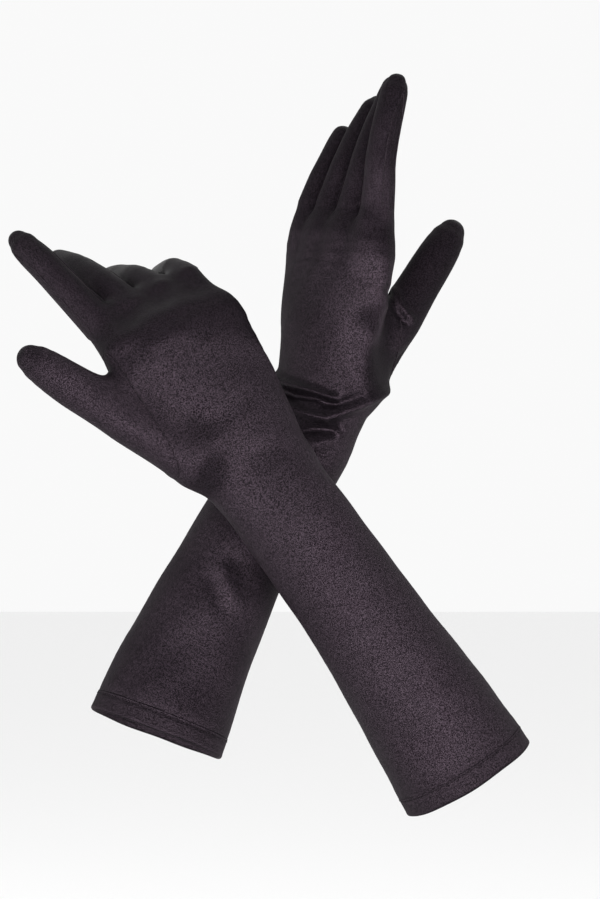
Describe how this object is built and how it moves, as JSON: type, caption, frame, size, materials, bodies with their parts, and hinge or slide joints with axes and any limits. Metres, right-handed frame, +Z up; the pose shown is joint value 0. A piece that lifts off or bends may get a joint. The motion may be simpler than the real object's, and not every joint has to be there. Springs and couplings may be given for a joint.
{
  "type": "opera gloves",
  "caption": "Elbow-length stretch satin gloves held as on two crossed raised arms, with sewn fingers, set-in thumbs, double stitched hems, and folding wrists, fingers and thumbs",
  "frame": {"origin": "centre of the right glove's arm opening, at the edge of its hem", "axes": "+Z up, towards the raised hands; +Y from the right glove to the left glove, away from the backs of the hands; +X right, seen from the backs of the hands"},
  "size_m": [0.2597, 0.1386, 0.3734],
  "materials": {
    "satin": "black stretch satin, soft sheen",
    "sleeve": "black stretch satin, soft sheen",
    "thumb": "black stretch satin, soft sheen",
    "gusset": "black stretch satin, soft sheen",
    "hem": "black stretch satin, folded double",
    "thread": "black polyester thread"
  },
  "bodies": {
    "root": {"right_hem": "hem", "right_hem_thread": "thread", "right_sleeve_back": "sleeve", "right_sleeve_palm": "sleeve"},
    "right_hand": {"right_wrist": "satin", "right_hand_back": "satin", "right_hand_palm": "satin", "right_thumb_root": "thumb", "right_thumb_seam": "thumb"},
    "right_thumb": {"right_thumb_base": "thumb", "right_thumb_stall": "thumb"},
    "right_index": {"right_index_base": "satin", "right_index_back": "satin", "right_index_palm": "satin", "right_index_gusset_little_side": "gusset"},
    "right_middle": {"right_middle_base": "satin", "right_middle_back": "satin", "right_middle_palm": "satin", "right_middle_gusset_little_side": "gusset", "right_middle_gusset_thumb_side": "gusset"},
    "right_ring": {"right_ring_base": "satin", "right_ring_back": "satin", "right_ring_palm": "satin", "right_ring_gusset_little_side": "gusset", "right_ring_gusset_thumb_side": "gusset"},
    "right_little": {"right_little_base": "satin", "right_little_back": "satin", "right_little_palm": "satin", "right_little_gusset_thumb_side": "gusset"},
    "left_sleeve": {"left_hem": "hem", "left_hem_thread": "thread", "left_sleeve_back": "sleeve", "left_sleeve_palm": "sleeve"},
    "left_hand": {"left_wrist": "satin", "left_hand_back": "satin", "left_hand_palm": "satin", "left_thumb_root": "thumb", "left_thumb_seam": "thumb"},
    "left_thumb": {"left_thumb_base": "thumb", "left_thumb_stall": "thumb"},
    "left_index": {"left_index_base": "satin", "left_index_back": "satin", "left_index_palm": "satin", "left_index_gusset_little_side": "gusset"},
    "left_middle": {"left_middle_base": "satin", "left_middle_back": "satin", "left_middle_palm": "satin", "left_middle_gusset_little_side": "gusset", "left_middle_gusset_thumb_side": "gusset"},
    "left_ring": {"left_ring_base": "satin", "left_ring_back": "satin", "left_ring_palm": "satin", "left_ring_gusset_little_side": "gusset", "left_ring_gusset_thumb_side": "gusset"},
    "left_little": {"left_little_base": "satin", "left_little_back": "satin", "left_little_palm": "satin", "left_little_gusset_thumb_side": "gusset"}
  },
  "joints": [
    {"name": "right_wrist", "type": "hinge", "parent": "root", "child": "right_hand", "pos_m": [-0.1033, -0.01728, 0.15117], "axis": [-0.787, -0.3902, -0.478], "range_deg": [-50, 20], "deforming": ["right_wrist"]},
    {"name": "right_thumb", "type": "hinge", "parent": "right_hand", "child": "right_thumb", "pos_m": [-0.17058, -0.03985, 0.18039], "axis": [-0.1192, -0.8517, -0.5103], "range_deg": [-3, 35], "deforming": ["right_thumb_base"]},
    {"name": "right_index", "type": "hinge", "parent": "right_hand", "child": "right_index", "pos_m": [-0.18219, -0.02122, 0.22465], "axis": [-0.7323, -0.4118, -0.5424], "range_deg": [-20, 65], "deforming": ["right_index_base"]},
    {"name": "right_middle", "type": "hinge", "parent": "right_hand", "child": "right_middle", "pos_m": [-0.16771, -0.01404, 0.23344], "axis": [-0.7761, -0.4, -0.4875], "range_deg": [-35, 63], "deforming": ["right_middle_base"]},
    {"name": "right_ring", "type": "hinge", "parent": "right_hand", "child": "right_ring", "pos_m": [-0.15346, -0.00698, 0.24209], "axis": [-0.787, -0.3902, -0.478], "range_deg": [-35, 48], "deforming": ["right_ring_base"]},
    {"name": "right_little", "type": "hinge", "parent": "right_hand", "child": "right_little", "pos_m": [-0.1404, -0.0005, 0.25003], "axis": [-0.8244, -0.3355, -0.4559], "range_deg": [-35, 44], "deforming": ["right_little_base"]},
    {"name": "left_wrist", "type": "hinge", "parent": "left_sleeve", "child": "left_hand", "pos_m": [-0.07322, 0.05011, 0.18225], "axis": [-0.6246, 0.7767, 0.0819], "range_deg": [-15, 50], "deforming": ["left_wrist"]},
    {"name": "left_thumb", "type": "hinge", "parent": "left_hand", "child": "left_thumb", "pos_m": [-0.0342, 0.05511, 0.23148], "axis": [0.2378, 0.8779, -0.4155], "range_deg": [-20, 35], "deforming": ["left_thumb_base"]},
    {"name": "left_index", "type": "hinge", "parent": "left_hand", "child": "left_index", "pos_m": [-0.04519, 0.02493, 0.28687], "axis": [-0.6267, 0.7778, 0.0471], "range_deg": [-10, 65], "deforming": ["left_index_base"]},
    {"name": "left_middle", "type": "hinge", "parent": "left_hand", "child": "left_middle", "pos_m": [-0.05668, 0.03923, 0.28837], "axis": [-0.6204, 0.7781, 0.0988], "range_deg": [-11, 57], "deforming": ["left_middle_base"]},
    {"name": "left_ring", "type": "hinge", "parent": "left_hand", "child": "left_ring", "pos_m": [-0.06798, 0.05328, 0.28985], "axis": [-0.6193, 0.779, 0.0983], "range_deg": [-16, 52], "deforming": ["left_ring_base"]},
    {"name": "left_little", "type": "hinge", "parent": "left_hand", "child": "left_little", "pos_m": [-0.07835, 0.06617, 0.29121], "axis": [-0.6186, 0.7796, 0.098], "range_deg": [-19, 49], "deforming": ["left_little_base"]},
    {"name": "left_glove_apart", "type": "slide", "parent": "root", "child": "left_sleeve", "axis": [0, 1, 0], "range_m": [0, 0.12]}
  ]
}
